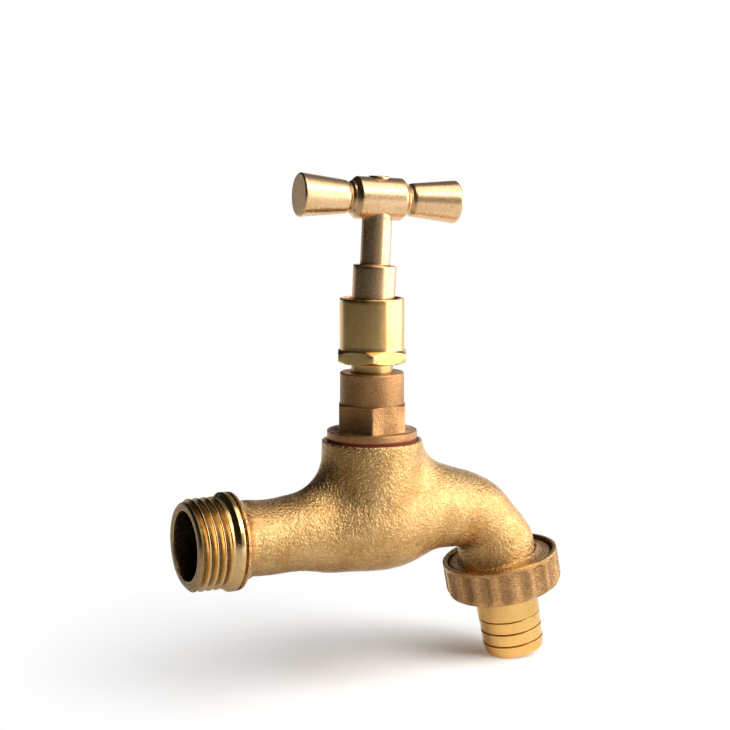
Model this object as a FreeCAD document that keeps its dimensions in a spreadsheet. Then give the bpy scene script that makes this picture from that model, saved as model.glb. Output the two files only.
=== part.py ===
"""Lockable bibcock: a screw-down brass tap worked by a loose T key, with a hose union.

Millimetres. The origin lies on the inlet axis where the full inlet thread starts. X runs
from the inlet to the spout, Z runs up along the spindle, and the tap is shut.
"""
import FreeCAD, Part
import math
import os
import re
import Sketcher

DIMENSIONS = {
    # Inlet end: a G1/2 male thread, its collar and the pipe behind it
    "inlet_thread_radius": 10.4775,
    "inlet_thread_length": 8.0,
    "inlet_chamfer": 1.0,
    "inlet_bore_radius": 7.9,
    "collar_radius": 11.3,
    "collar_flank": 0.9,
    "collar_land": 2.3,
    "collar_rear": 2.6,
    "collar_edge": 0.4,
    "pipe_radius": 8.75,
    "spindle_reach": 47.0,
    # Valve chamber: the widest part of the casting, under the neck, and the forms beside it
    "swell_reach": 18.0,
    "swell_rise": 0.3,
    "swell_radius": 9.2,
    "belly_reach": 9.5,
    "belly_rise": 0.9,
    "belly_radius": 11.1,
    "chamber_radius": 12.8,
    "chamber_rise": 2.0,
    "shoulder_reach": 8.5,
    "shoulder_rise": 2.2,
    "shoulder_radius": 12.0,
    "spout_root_reach": 16.0,
    "spout_root_rise": 3.4,
    "spout_root_radius": 10.8,
    "chamber_core_radius": 9.2,
    # Neck: carries the headwork
    "neck_radius": 11.85,
    "neck_root_radius": 12.6,
    "neck_root_level": 3.0,
    "neck_height": 20.7,
    "neck_saddle_radius": 10.0,
    "neck_spare": 4.0,
    "rim_recess": 0.5,
    "rim_recess_radius": 10.75,
    # Swan neck: an elbow about a point under the spout
    "elbow_reach": 22.7,
    "elbow_drop": 9.8,
    "elbow_inner_radius": 2.2,
    "elbow_start_radius": 9.8,
    "elbow_waist_radius": 8.75,
    "elbow_end_radius": 9.5,
    "outlet_tilt": 11.1,
    "outlet_run": 4.5,
    "outlet_offset": 0.6,
    "outlet_flare": 1.0,
    "outlet_flare_run": 1.4,
    # Waterway inside the casting
    "port_half_width": 6.5,
    "port_half_height": 3.5,
    "port_drop": 4.8,
    "port_mouth_reach": 9.0,
    "port_reach": 5.5,
    "port_run": 23.0,
    "seat_orifice_radius": 4.9,
    "seat_rim_radius": 6.4,
    "seat_level": 2.2,
    "seat_rim_height": 1.0,
    "seat_rim_bevel": 0.3,
    "core_taper": 1.0,
    "outlet_port_reach": 4.0,
    "outlet_port_radius": 4.8,
    "outlet_core_radius": 6.6,
    "outlet_bore_radius": 8.5,
    # Spout thread: G3/4
    "spout_thread_radius": 13.22,
    "spout_thread_length": 4.2,
    "spout_chamfer": 0.8,
    # Fits, and how far a cutting shape runs past what it cuts
    "cutting_spare": 1.0,
    "running_clearance": 0.08,
    "thread_clearance": 0.05,
    # Headwork
    "gasket_thickness": 1.0,
    "gasket_radius": 10.5,
    "gasket_bore_radius": 8.6,
    "headwork_thread_radius": 8.33,
    "headwork_thread_length": 9.4,
    "headwork_flange_radius": 10.6,
    "headwork_flange": 1.8,
    "headwork_hex_width": 15.4,
    "headwork_hex_height": 6.3,
    "headwork_barrel_radius": 7.5,
    "headwork_barrel_height": 7.4,
    "headwork_edge": 0.4,
    "hex_corner_cut": 1.6,
    "hex_face_edge": 0.1,
    "hex_turn": 3.2,
    "screw_chamber_height": 11.6,
    "stuffing_radius": 4.9,
    "stuffing_depth": 6.8,
    # Packing
    "packing_ring_height": 1.2,
    "packing_follower_height": 1.4,
    # Lock shroud: gland nut and guard in one turned piece
    "shroud_neck_gap": 2.2,
    "shroud_hex_width": 15.8,
    "shroud_hex_height": 3.1,
    "shroud_radius": 7.55,
    "shroud_height": 12.0,
    "shroud_floor": 1.4,
    "shroud_bore_radius": 6.6,
    "shroud_edge": 0.35,
    # Spindle
    "spindle_rod_radius": 3.2,
    "spindle_screw_radius": 5.2,
    "spindle_screw_length": 9.5,
    "spindle_foot_chamfer": 0.8,
    "square_width": 5.0,
    "square_length": 5.4,
    "square_top_chamfer": 0.5,
    # Jumper valve, washer and nut
    "jumper_stem_radius": 2.5,
    "jumper_stem_length": 9.2,
    "jumper_hole_spare": 0.4,
    "jumper_plate_radius": 6.2,
    "jumper_plate_height": 1.6,
    "jumper_stud_radius": 1.7,
    "jumper_stud_spare": 0.5,
    "tap_washer_radius": 6.1,
    "tap_washer_height": 2.9,
    "washer_nut_width": 5.5,
    "washer_nut_height": 2.2,
    # T key, leaning by the play of its socket on the square
    "key_lean": 2.9,
    "key_turn": -5.0,
    "key_collar_radius": 5.05,
    "key_collar_length": 17.0,
    "key_socket_width": 5.35,
    "key_socket_depth": 5.3,
    "key_top_gap": 0.3,
    "key_foot_gap": 1.2,
    "key_shank_radius": 3.5,
    "key_bar_level": 32.4,
    "key_spigot_radius": 2.4,
    "key_spigot_proud": 0.3,
    "key_edge": 0.4,
    "bar_barrel_radius": 4.9,
    "bar_barrel_half": 6.5,
    "bar_chamfer": 1.0,
    "bar_neck_radius": 3.4,
    "bar_neck_length": 1.7,
    "bar_grip_root_radius": 3.8,
    "bar_grip_length": 11.3,
    "bar_grip_radius": 5.05,
    "bar_edge": 0.3,
    # Union nut
    "nut_wall": 1.03,
    "nut_rim_proud": 1.0,
    "nut_floor": 1.2,
    "nut_foot_bevel": 2.2,
    "nut_flutes": 18,
    "flute_radius": 5.2,
    "flute_depth": 0.6,
    "flute_top_gap": 1.1,
    "flute_run_out": 1.5,
    "nut_hole_radius": 8.3,
    # Hose washer and tail
    "hose_washer_height": 1.5,
    "hose_washer_side_gap": 0.62,
    "tail_flange_side_gap": 1.22,
    "tail_flange_height": 1.2,
    "tail_radius": 7.8,
    "tail_bore_radius": 5.2,
    "tail_root_radius": 8.0,
    "tail_root_spare": 0.1,
    "tail_land": 6.2,
    "barb_count": 3,
    "barb_pitch": 3.2,
    "barb_step": 0.2,
    "barb_shrink": 0.08,
    "barb_groove_width": 0.4,
    "barb_groove_depth": 0.3,
    "tail_end_bevel": 0.9,
}

UP = FreeCAD.Vector(0, 0, 1)
FULL_TURN = 360
TINY = 0.02
EDGE_SAMPLES = 9

# Levels along the spindle, from the inlet axis
GASKET_LEVEL = "(neck_height - rim_recess)"
HEADWORK_LEVEL = f"({GASKET_LEVEL} + gasket_thickness)"
HEX_LEVEL = f"({HEADWORK_LEVEL} + headwork_flange)"
BARREL_LEVEL = f"({HEX_LEVEL} + headwork_hex_height)"
HEADWORK_TOP = f"({BARREL_LEVEL} + headwork_barrel_height)"
PACKING_LEVEL = f"({HEADWORK_TOP} - stuffing_depth)"
SHROUD_HEX_LEVEL = f"({HEADWORK_TOP} + shroud_neck_gap)"
PLATE_LEVEL = "(seat_level + tap_washer_height)"
SPINDLE_LEVEL = f"({PLATE_LEVEL} + jumper_plate_height)"
SHROUD_FLOOR_LEVEL = f"({SHROUD_HEX_LEVEL} + shroud_hex_height + shroud_floor)"
KEY_LEVEL = f"({SHROUD_FLOOR_LEVEL} + key_foot_gap)"
SPINDLE_TOP = f"({KEY_LEVEL} + key_socket_depth - key_top_gap)"
SPINDLE_LENGTH = f"({SPINDLE_TOP} - {SPINDLE_LEVEL})"
SPINDLE_X = "(spindle_reach - inlet_chamfer)"
END_X = "(0 - inlet_chamfer)"
COLLAR_FOOT = "(inlet_thread_length + collar_flank + collar_land + collar_rear)"
COLLAR_X = f"({END_X} + {COLLAR_FOOT})"
OUTLET_LEAN = "(90 - outlet_tilt)"
NUT_RADIUS = "(spout_thread_radius + nut_wall)"
WASHER_RADIUS = "(spout_thread_radius - hose_washer_side_gap)"
FLANGE_RADIUS = "(spout_thread_radius - tail_flange_side_gap)"

doc = FreeCAD.newDocument("Bibcock")
sheet = doc.addObject("Spreadsheet::Sheet", "Dims")
for row, (alias, size) in enumerate(DIMENSIONS.items(), start=1):
    sheet.set(f"A{row}", alias)
    sheet.set(f"B{row}", str(size))
    sheet.setAlias(f"B{row}", alias)
doc.recompute()


def bind(formula):
    """A formula of dimension names as an expression that reads the sheet."""
    return re.sub(r"[a-z]+(?:_[a-z]+)+", lambda name: "Dims." + name.group(0), str(formula))


def value(alias):
    """The present value of one dimension."""
    return sheet.get(alias)


def place(piece, across="0", up="0", turn="0", lean="0", side="0"):
    """Binds a placement: lean is about Y and is followed by turn about Z, both in degrees."""
    rotation = f"rotation({bind(turn)}; {bind(lean)}; 0)"
    where = f"vector({bind(across)}; {bind(side)}; {bind(up)})"
    piece.setExpression("Placement", f"placement({where}; {rotation})")


def on_spindle(piece, level, turn="0"):
    """Puts a piece on the spindle axis at a level above the inlet axis."""
    place(piece, SPINDLE_X, level, turn=turn)


def on_key(piece, distance, aside="0"):
    """Puts a piece in the leaning key's frame, whose axis crosses the spindle's inside the socket."""
    rise = f"({distance} - key_socket_depth / 2)"
    lean = "(key_lean * 1 deg)"
    turn = "(key_turn * 1 deg)"
    outward = f"({rise} * sin{lean} + {aside} * cos{lean})"
    across = f"({SPINDLE_X} + {outward} * cos{turn})"
    up = f"({KEY_LEVEL} + key_socket_depth / 2 + {rise} * cos{lean} - {aside} * sin{lean})"
    place(piece, across, up, turn="key_turn", lean="key_lean", side=f"{outward} * sin{turn}")


def along_outlet(distance, inward="0"):
    """Point a distance below the spout's shoulder, on the outlet axis or inward of it."""
    arm = f"(elbow_inner_radius + elbow_end_radius + outlet_offset - {inward})"
    slope = "(outlet_tilt * 1 deg)"
    down = f"(outlet_run + {distance})"
    across = f"({SPINDLE_X} + elbow_reach + {arm} * cos{slope} + {down} * sin{slope})"
    up = f"({arm} * sin{slope} - elbow_drop - {down} * cos{slope})"
    return across, up


def on_outlet(piece, distance):
    """Puts a piece on the outlet axis with its own Z pointing down the spout."""
    across, up = along_outlet(distance)
    place(piece, across, up, lean="180 - outlet_tilt")


def new_body(label):
    """An empty body named after its node."""
    body = doc.addObject("PartDesign::Body", label)
    body.Label = label
    return body


def plane_of(body, role):
    """One of the body's own origin planes."""
    return [item for item in body.Origin.OriginFeatures if item.Role == role][0]


def new_sketch(body, name, role="XZ_Plane"):
    """A sketch on one of the body's origin planes."""
    sketch = body.newObject("Sketcher::SketchObject", name)
    sketch.AttachmentSupport = [(plane_of(body, role), "")]
    sketch.MapMode = "FlatFace"
    return sketch


def fix_point(sketch, shape, end, across, up):
    """Holds one point of a sketch at a place given by two formulas."""
    for kind, formula in (("DistanceX", across), ("DistanceY", up)):
        index = sketch.addConstraint(Sketcher.Constraint(kind, -1, 1, shape, end, 1.0))
        sketch.setExpression(f"Constraints[{index}]", bind(formula))


def draw_outline(sketch, corners):
    """Closed outline of straight lines, each corner held at its two formulas."""
    count = len(corners)
    angles = [2 * math.pi * k / count for k in range(count)]
    starts = [FreeCAD.Vector(math.cos(angle), math.sin(angle), 0) for angle in angles]
    first = sketch.GeometryCount
    for k in range(count):
        sketch.addGeometry(Part.LineSegment(starts[k], starts[(k + 1) % count]), False)
    for k in range(count):
        following = first + (k + 1) % count
        sketch.addConstraint(Sketcher.Constraint("Coincident", first + k, 2, following, 1))
    for k, (across, up) in enumerate(corners):
        fix_point(sketch, first + k, 1, across, up)


def draw_circle(sketch, radius, across="0", up="0"):
    """Circle with its centre and radius held at formulas."""
    index = sketch.addGeometry(Part.Circle(FreeCAD.Vector(0, 0, 0), UP, 1.0), False)
    fix_point(sketch, index, 3, across, up)
    held = sketch.addConstraint(Sketcher.Constraint("Radius", index, 1.0))
    sketch.setExpression(f"Constraints[{held}]", bind(radius))


def draw_polygon(sketch, sides, width):
    """Regular polygon round the origin, width across its flats, one corner on the first axis."""
    corner = f"(({width}) / 2 / cos({180 / sides} deg))"
    points = []
    for k in range(sides):
        angle = f"{FULL_TURN * k / sides} deg"
        points.append((f"{corner} * cos({angle})", f"{corner} * sin({angle})"))
    draw_outline(sketch, points)


def draw_square(sketch, width):
    """Square round the origin with its sides along the axes."""
    half = f"(({width}) / 2)"
    minus = f"(0 - {half})"
    draw_outline(sketch, [(minus, minus), (half, minus), (half, half), (minus, half)])


def revolve(body, name, corners, axis="V_Axis", kind="Revolution"):
    """Turns an outline of (across, up) corners round one of its sketch's own axes."""
    sketch = new_sketch(body, name + "_outline")
    draw_outline(sketch, corners)
    turned = body.newObject("PartDesign::" + kind, name)
    turned.Profile = sketch
    turned.ReferenceAxis = (sketch, [axis])
    turned.Angle = FULL_TURN
    doc.recompute()
    return turned


def pad(body, name, draw, height, level="0"):
    """Raises what draw puts in a flat sketch from a level by a height."""
    sketch = new_sketch(body, name + "_outline", "XY_Plane")
    sketch.setExpression("AttachmentOffset.Base.z", bind(level))
    draw(sketch)
    raised = body.newObject("PartDesign::Pad", name)
    raised.Profile = sketch
    raised.setExpression("Length", bind(height))
    doc.recompute()
    return raised


def pocket(body, name, draw, depth, level="0", upward=True):
    """Cuts what draw puts in a flat sketch from a level, upward or downward."""
    before = body.Shape.Volume
    sketch = new_sketch(body, name + "_outline", "XY_Plane")
    sketch.setExpression("AttachmentOffset.Base.z", bind(level))
    draw(sketch)
    cut = body.newObject("PartDesign::Pocket", name)
    cut.Profile = sketch
    cut.Reversed = upward
    cut.setExpression("Length", bind(depth))
    doc.recompute()
    if body.Shape.Volume >= before:
        raise RuntimeError(name + " cuts nothing")
    return cut


def ring_at(name, across, up, lean, radius):
    """Circle square to the casting's centre line, one station of a loft."""
    ring = doc.addObject("Part::Circle", name)
    ring.setExpression("Radius", bind(radius))
    place(ring, across, up, lean=f"{lean} + 90")
    return ring


def loft_through(name, rings):
    """Solid skinned over a row of rings."""
    skin = doc.addObject("Part::Loft", name)
    skin.Sections = rings
    skin.Solid = True
    return skin


def fused(name, shapes):
    """Union of several shapes."""
    joined = doc.addObject("Part::MultiFuse", name)
    joined.Shapes = shapes
    joined.Refine = True
    return joined


def less(name, base, tool):
    """One shape cut from another."""
    cut = doc.addObject("Part::Cut", name)
    cut.Base = base
    cut.Tool = tool
    return cut


def cylinder(name, radius, height):
    """Cylinder with formulas for its size, still to be placed."""
    rod = doc.addObject("Part::Cylinder", name)
    rod.setExpression("Radius", bind(radius))
    rod.setExpression("Height", bind(height))
    return rod


def cone(name, lower, upper, height):
    """Cone frustum with formulas for its size, still to be placed."""
    taper = doc.addObject("Part::Cone", name)
    taper.setExpression("Radius1", bind(lower))
    taper.setExpression("Radius2", bind(upper))
    taper.setExpression("Height", bind(height))
    return taper


def turned_solid(name, corners):
    """Solid turned about its own Z from an outline that stands by itself."""
    sketch = doc.addObject("Sketcher::SketchObject", name + "_outline")
    sketch.Placement = FreeCAD.Placement(FreeCAD.Vector(), FreeCAD.Rotation(FreeCAD.Vector(1, 0, 0), 90))
    draw_outline(sketch, corners)
    solid = doc.addObject("Part::Revolution", name)
    solid.Source = sketch
    solid.Axis = UP
    solid.Base = FreeCAD.Vector()
    solid.Angle = FULL_TURN
    solid.Solid = True
    return solid


def elbow_ring(name, lean, radius):
    """Station of the elbow: lean is 0 where it leaves the chamber and grows to the outlet."""
    arm = f"(elbow_inner_radius + {radius})"
    across = f"({SPINDLE_X} + elbow_reach + {arm} * sin({lean} * 1 deg))"
    up = f"({arm} * cos({lean} * 1 deg) - elbow_drop)"
    return ring_at(name, across, up, lean, radius)


def casting_skin():
    """Outer form of the casting from the collar to the spout's shoulder."""
    rings = [
        ring_at("pipe_root_ring", f"{COLLAR_X} - collar_rear / 2", "0", "0", "pipe_radius - collar_edge / 2"),
        ring_at("pipe_first_ring", f"{COLLAR_X} + pipe_radius / 2", "0", "0", "pipe_radius"),
        ring_at("pipe_last_ring", f"{COLLAR_X} + pipe_radius", "0", "0", "pipe_radius"),
        ring_at("swell_ring", f"{SPINDLE_X} - swell_reach", "swell_rise", "0", "swell_radius"),
        ring_at("belly_ring", f"{SPINDLE_X} - belly_reach", "belly_rise", "0", "belly_radius"),
        ring_at("chamber_ring", SPINDLE_X, "chamber_rise", "0", "chamber_radius"),
        ring_at("shoulder_ring", f"{SPINDLE_X} + shoulder_reach", "shoulder_rise", "0", "shoulder_radius"),
        ring_at("spout_root_ring", f"{SPINDLE_X} + spout_root_reach", "spout_root_rise", "0",
                "spout_root_radius"),
        elbow_ring("elbow_ring_first", "0", "elbow_start_radius"),
        elbow_ring("elbow_ring_second", f"({OUTLET_LEAN} / 4)",
                   "(elbow_waist_radius + (elbow_start_radius - elbow_waist_radius) / 3)"),
        elbow_ring("elbow_ring_third", f"({OUTLET_LEAN} / 2)", "elbow_waist_radius"),
        elbow_ring("elbow_ring_fourth", f"({OUTLET_LEAN} * 3 / 4)", "elbow_waist_radius"),
        elbow_ring("elbow_ring_last", OUTLET_LEAN, "elbow_end_radius"),
    ]
    for name, distance, inward, flare in (("outlet_ring", "0 - outlet_flare_run", "outlet_offset", "0"),
                                          ("flare_ring", "thread_clearance", "0", "outlet_flare")):
        across, up = along_outlet(distance, inward)
        rings.append(ring_at(name, across, up, OUTLET_LEAN, f"elbow_end_radius + {flare}"))
    return loft_through("casting_skin", rings)


def inlet_end():
    """Thread blank, collar and the start of the pipe, turned about the inlet axis."""
    flank = "(inlet_thread_length + collar_flank)"
    land = f"({flank} + collar_land)"
    solid = turned_solid("inlet_end", [
        ("0", "0"),
        ("inlet_thread_radius - inlet_chamfer", "0"),
        ("inlet_thread_radius", "inlet_chamfer"),
        ("inlet_thread_radius", "inlet_thread_length"),
        ("inlet_thread_radius - collar_edge", "inlet_thread_length"),
        ("collar_radius - collar_edge", flank),
        ("collar_radius", f"{flank} + collar_edge"),
        ("collar_radius", land),
        ("collar_radius - 2 * collar_edge", f"{land} + 2 * collar_edge"),
        ("pipe_radius", COLLAR_FOOT),
        ("0", COLLAR_FOOT),
    ])
    place(solid, END_X, "0", lean="90")
    return solid


def saddle_fillet(casting):
    """Blends the neck into the chamber, the pipe and the spout below it."""
    doc.recompute()
    rise = value("neck_height") - value("neck_root_level")
    slope = (value("neck_root_radius") - value("neck_radius")) / rise
    centre = value("spindle_reach") - value("inlet_chamfer")
    radius = value("neck_saddle_radius")

    def off_neck(point):
        """Distance of a point from the neck's cone."""
        wall = value("neck_radius") + (value("neck_height") - point.z) * slope
        return abs(math.hypot(point.x - centre, point.y) - wall)

    edges = []
    for number, edge in enumerate(casting.Shape.Edges, start=1):
        points = edge.discretize(EDGE_SAMPLES)
        on_neck = max(off_neck(point) for point in points) < TINY
        if on_neck and min(edge.BoundBox.YLength, edge.BoundBox.ZLength) > TINY:
            edges.append((number, radius, radius))
    blend = doc.addObject("Part::Fillet", "neck_saddle")
    blend.Base = casting
    blend.Edges = edges
    return blend


def slanted_core(name, first, last, from_point, to_point, spare="0"):
    """Cone cut along the casting between two points, from one radius to another."""
    across, up = from_point
    run = f"({to_point[0]} - {across})"
    drop = f"({up} - {to_point[1]})"
    core = cone(name, first, last, f"sqrt({run}^2 + {drop}^2) + {spare}")
    place(core, across, up, lean=f"90 + atan({drop} / {run}) / 1 deg")
    return core


def waterway():
    """Everything that is hollow in the casting, as one shape."""
    floor = "(seat_level - seat_rim_height)"
    inlet = cylinder("inlet_bore", "inlet_bore_radius", "spindle_reach - port_run")
    place(inlet, END_X, "0", lean="90")
    mouth = (f"({SPINDLE_X} - port_mouth_reach)", "(0 - port_drop)")
    throat = slanted_core("inlet_throat", "inlet_bore_radius", "port_half_height",
                          (f"({END_X} + spindle_reach - port_run)", "0"), mouth)
    run = "(port_mouth_reach + port_reach)"
    flat_half = "(port_half_width - port_half_height)"
    slot = doc.addObject("Part::Box", "port_slot")
    for side, formula in (("Length", run), ("Width", f"2 * {flat_half}"), ("Height", "2 * port_half_height")):
        slot.setExpression(side, bind(formula))
    place(slot, mouth[0], f"{mouth[1]} - port_half_height", side=f"0 - {flat_half}")
    port = [slot]
    for name, sign in (("port_near_side", "-"), ("port_far_side", "+")):
        port.append(cylinder(name, "port_half_height", run))
        place(port[-1], mouth[0], mouth[1], lean="90", side=f"0 {sign} {flat_half}")
    orifice = cylinder("seat_orifice", "seat_orifice_radius", "seat_level + port_drop")
    on_spindle(orifice, "0 - port_drop")
    thread = "headwork_thread_radius + thread_clearance"
    thread_foot = f"({HEADWORK_LEVEL} - headwork_thread_length)"
    chamber = turned_solid("chamber_core", [
        ("seat_rim_radius", floor),
        ("chamber_core_radius", floor),
        ("chamber_core_radius", f"{thread_foot} - core_taper"),
        (thread, thread_foot),
        (thread, GASKET_LEVEL),
        ("rim_recess_radius", GASKET_LEVEL),
        ("rim_recess_radius", "neck_height + cutting_spare"),
        ("0", "neck_height + cutting_spare"),
        ("0", "seat_level"),
        ("seat_rim_radius - seat_rim_bevel", "seat_level"),
    ])
    on_spindle(chamber, "0")
    arm = "(elbow_inner_radius + elbow_waist_radius)"
    bend_start = (f"({SPINDLE_X} + elbow_reach)", f"({arm} - elbow_drop)")
    outlet = slanted_core("outlet_core", "outlet_port_radius", "outlet_core_radius",
                          (f"({SPINDLE_X} + outlet_port_reach)", f"({floor} + outlet_port_radius)"),
                          bend_start, "outlet_core_radius / 4")
    bend = doc.addObject("Part::Torus", "outlet_bend")
    bend.setExpression("Radius1", bind(arm))
    bend.setExpression("Radius2", bind("outlet_core_radius"))
    bend.setExpression("Angle3", bind(OUTLET_LEAN))
    centre = f"vector({bind(bend_start[0])}; 0; 0 - Dims.elbow_drop)"
    bend.setExpression("Placement", f"placement({centre}; rotation(0; 0 - Dims.outlet_tilt; 90))")
    flared = cone("outlet_flared_core", "outlet_core_radius", "outlet_bore_radius", "outlet_run")
    on_outlet(flared, "0 - outlet_run")
    bore = cylinder("outlet_bore", "outlet_bore_radius", "spout_thread_length + cutting_spare")
    on_outlet(bore, "0")
    return fused("waterway", [inlet, throat] + port + [orifice, chamber, outlet, bend, flared, bore])


def make_body():
    """The cast body: inlet, chamber, neck, swan neck and both threads."""
    rise = "(neck_height - neck_root_level)"
    taper = "(neck_root_radius - neck_radius)"
    neck = cone("neck", "neck_root_radius", f"neck_radius - {taper} * neck_spare / {rise}",
                f"{rise} + neck_spare")
    on_spindle(neck, "neck_root_level")
    spare = cylinder("neck_top_cut", "2 * neck_root_radius", "2 * neck_spare")
    on_spindle(spare, "neck_height")
    casting = fused("casting", [casting_skin(), neck])
    blended = less("trimmed_casting", saddle_fillet(casting), spare)
    spout_thread = turned_solid("spout_thread", [
        ("0", "0"),
        ("spout_thread_radius - spout_chamfer / 2", "0"),
        ("spout_thread_radius", "spout_chamfer / 2"),
        ("spout_thread_radius", "spout_thread_length - spout_chamfer"),
        ("spout_thread_radius - spout_chamfer", "spout_thread_length"),
        ("0", "spout_thread_length"),
    ])
    on_outlet(spout_thread, "0")
    whole = fused("outer_form", [blended, inlet_end(), spout_thread])
    return less("body", whole, waterway())


def make_gasket():
    """Red fibre ring between the headwork flange and the neck."""
    body = new_body("body_gasket")
    revolve(body, "ring", [
        ("gasket_bore_radius", "0"), ("gasket_radius", "0"),
        ("gasket_radius", "gasket_thickness"), ("gasket_bore_radius", "gasket_thickness"),
    ])
    on_spindle(body, GASKET_LEVEL)
    return body


def cut_hex_corners(body, name, width, level, downward):
    """Turned chamfer on the corners of a hexagon, at its top or its bottom face."""
    corner = f"(({width}) / 2 / cos(30 deg))"
    flat = f"(({width}) / 2 - hex_face_edge)"
    sign = "-" if downward else "+"
    revolve(body, name, [
        (flat, level),
        (f"{corner} + cutting_spare", level),
        (f"{corner} + cutting_spare", f"{level} {sign} ({corner} + cutting_spare - {flat}) / hex_corner_cut"),
    ], kind="Groove")


def make_headwork():
    """Screwed bonnet: carries the spindle's screw thread and the stuffing box."""
    body = new_body("headwork")
    flange = "headwork_thread_length"
    hexagon = f"({flange} + headwork_flange)"
    barrel = f"({hexagon} + headwork_hex_height)"
    top = f"({barrel} + headwork_barrel_height)"
    revolve(body, "turned_form", [
        ("0", "0"), ("headwork_thread_radius", "0"),
        ("headwork_thread_radius", flange), ("headwork_flange_radius", flange),
        ("headwork_flange_radius", hexagon), ("headwork_barrel_radius", hexagon),
        ("headwork_barrel_radius", f"{top} - headwork_edge"),
        ("headwork_barrel_radius - headwork_edge", top), ("0", top),
    ])
    pad(body, "hexagon", lambda sketch: draw_polygon(sketch, 6, "headwork_hex_width"),
        "headwork_hex_height", hexagon)
    cut_hex_corners(body, "hexagon_corners", "headwork_hex_width", barrel, True)
    screw = "(spindle_screw_radius + running_clearance)"
    rod = "(spindle_rod_radius + running_clearance)"
    stuffing = "(stuffing_radius + thread_clearance)"
    box = f"({top} - stuffing_depth)"
    revolve(body, "hollow", [
        ("0", "0 - cutting_spare"), (screw, "0 - cutting_spare"), (screw, "screw_chamber_height"),
        (rod, "screw_chamber_height"), (rod, box), (stuffing, box),
        (stuffing, f"{top} + cutting_spare"), ("0", f"{top} + cutting_spare"),
    ], kind="Groove")
    on_spindle(body, f"{HEADWORK_LEVEL} - headwork_thread_length", turn="hex_turn")
    return body


def make_packing():
    """Three soft rings round the rod and the brass follower that presses on them."""
    pieces = []
    bore = "(spindle_rod_radius + running_clearance)"
    stack = [("packing_ring_lower", "packing_ring_height"), ("packing_ring_middle", "packing_ring_height"),
             ("packing_ring_upper", "packing_ring_height"), ("packing_follower", "packing_follower_height")]
    level = PACKING_LEVEL
    for label, height in stack:
        body = new_body(label)
        revolve(body, "ring", [
            (bore, "0"), ("stuffing_radius", "0"), ("stuffing_radius", height), (bore, height),
        ])
        on_spindle(body, level)
        level = f"({level} + {height})"
        pieces.append(body)
    return pieces


def make_shroud():
    """Gland nut whose tall guard hides the spindle's square from pliers."""
    body = new_body("lock_shroud")
    neck = "(stuffing_depth - 3 * packing_ring_height - packing_follower_height + shroud_neck_gap)"
    hexagon_top = f"({neck} + shroud_hex_height)"
    top = f"({hexagon_top} + shroud_height)"
    floor = f"({hexagon_top} + shroud_floor)"
    revolve(body, "turned_form", [
        ("0", "0"), ("stuffing_radius", "0"),
        ("stuffing_radius", neck), ("shroud_radius", neck),
        ("shroud_radius", f"{top} - shroud_edge"), ("shroud_radius - shroud_edge", top), ("0", top),
    ])
    pad(body, "hexagon", lambda sketch: draw_polygon(sketch, 6, "shroud_hex_width"),
        "shroud_hex_height", neck)
    cut_hex_corners(body, "upper_corners", "shroud_hex_width", hexagon_top, True)
    cut_hex_corners(body, "lower_corners", "shroud_hex_width", neck, False)
    rod = "(spindle_rod_radius + running_clearance)"
    revolve(body, "hollow", [
        ("0", "0 - cutting_spare"), (rod, "0 - cutting_spare"), (rod, floor), ("shroud_bore_radius", floor),
        ("shroud_bore_radius", f"{top} + cutting_spare"), ("0", f"{top} + cutting_spare"),
    ], kind="Groove")
    on_spindle(body, f"{SHROUD_HEX_LEVEL} - {neck}", turn="hex_turn")
    return body


def make_spindle():
    """Rising screw with a square head at its top and the jumper's hole in its foot."""
    body = new_body("spindle")
    foot = "spindle_foot_chamfer"
    revolve(body, "turned_form", [
        ("0", "0"), (f"spindle_screw_radius - {foot}", "0"), ("spindle_screw_radius", foot),
        ("spindle_screw_radius", f"spindle_screw_length - {foot}"),
        (f"spindle_screw_radius - {foot}", "spindle_screw_length"),
        ("spindle_rod_radius", "spindle_screw_length"),
        ("spindle_rod_radius", f"{SPINDLE_LENGTH} - square_top_chamfer"),
        ("spindle_rod_radius - square_top_chamfer", SPINDLE_LENGTH), ("0", SPINDLE_LENGTH),
    ])

    def flats(sketch):
        draw_circle(sketch, "spindle_rod_radius + cutting_spare")
        draw_square(sketch, "square_width")

    pocket(body, "square_flats", flats, "square_length + cutting_spare", f"{SPINDLE_LENGTH} - square_length")
    pocket(body, "jumper_hole", lambda sketch: draw_circle(sketch, "jumper_stem_radius + running_clearance"),
           "jumper_stem_length + jumper_hole_spare")
    on_spindle(body, SPINDLE_LEVEL, turn="key_turn")
    return body


def make_valve():
    """Jumper, its rubber washer and the small nut that holds the washer on."""
    jumper = new_body("jumper_valve")
    stud = "(tap_washer_height + washer_nut_height + jumper_stud_spare)"
    plate = f"({stud} + jumper_plate_height)"
    revolve(jumper, "turned_form", [
        ("0", "0"), ("jumper_stud_radius", "0"), ("jumper_stud_radius", stud),
        ("jumper_plate_radius", stud), ("jumper_plate_radius", plate),
        ("jumper_stem_radius", plate), ("jumper_stem_radius", f"{plate} + jumper_stem_length"),
        ("0", f"{plate} + jumper_stem_length"),
    ])
    on_spindle(jumper, f"{PLATE_LEVEL} - {stud}")
    washer = new_body("tap_washer")
    hole = "(jumper_stud_radius + thread_clearance)"
    revolve(washer, "ring", [
        (hole, "0"), ("tap_washer_radius", "0"),
        ("tap_washer_radius", "tap_washer_height"), (hole, "tap_washer_height"),
    ])
    on_spindle(washer, "seat_level")
    nut = new_body("washer_nut")

    def ring(sketch):
        draw_polygon(sketch, 6, "washer_nut_width")
        draw_circle(sketch, hole)

    pad(nut, "hexagon", ring, "washer_nut_height")
    on_spindle(nut, "seat_level - washer_nut_height")
    return [jumper, washer, nut]


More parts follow.
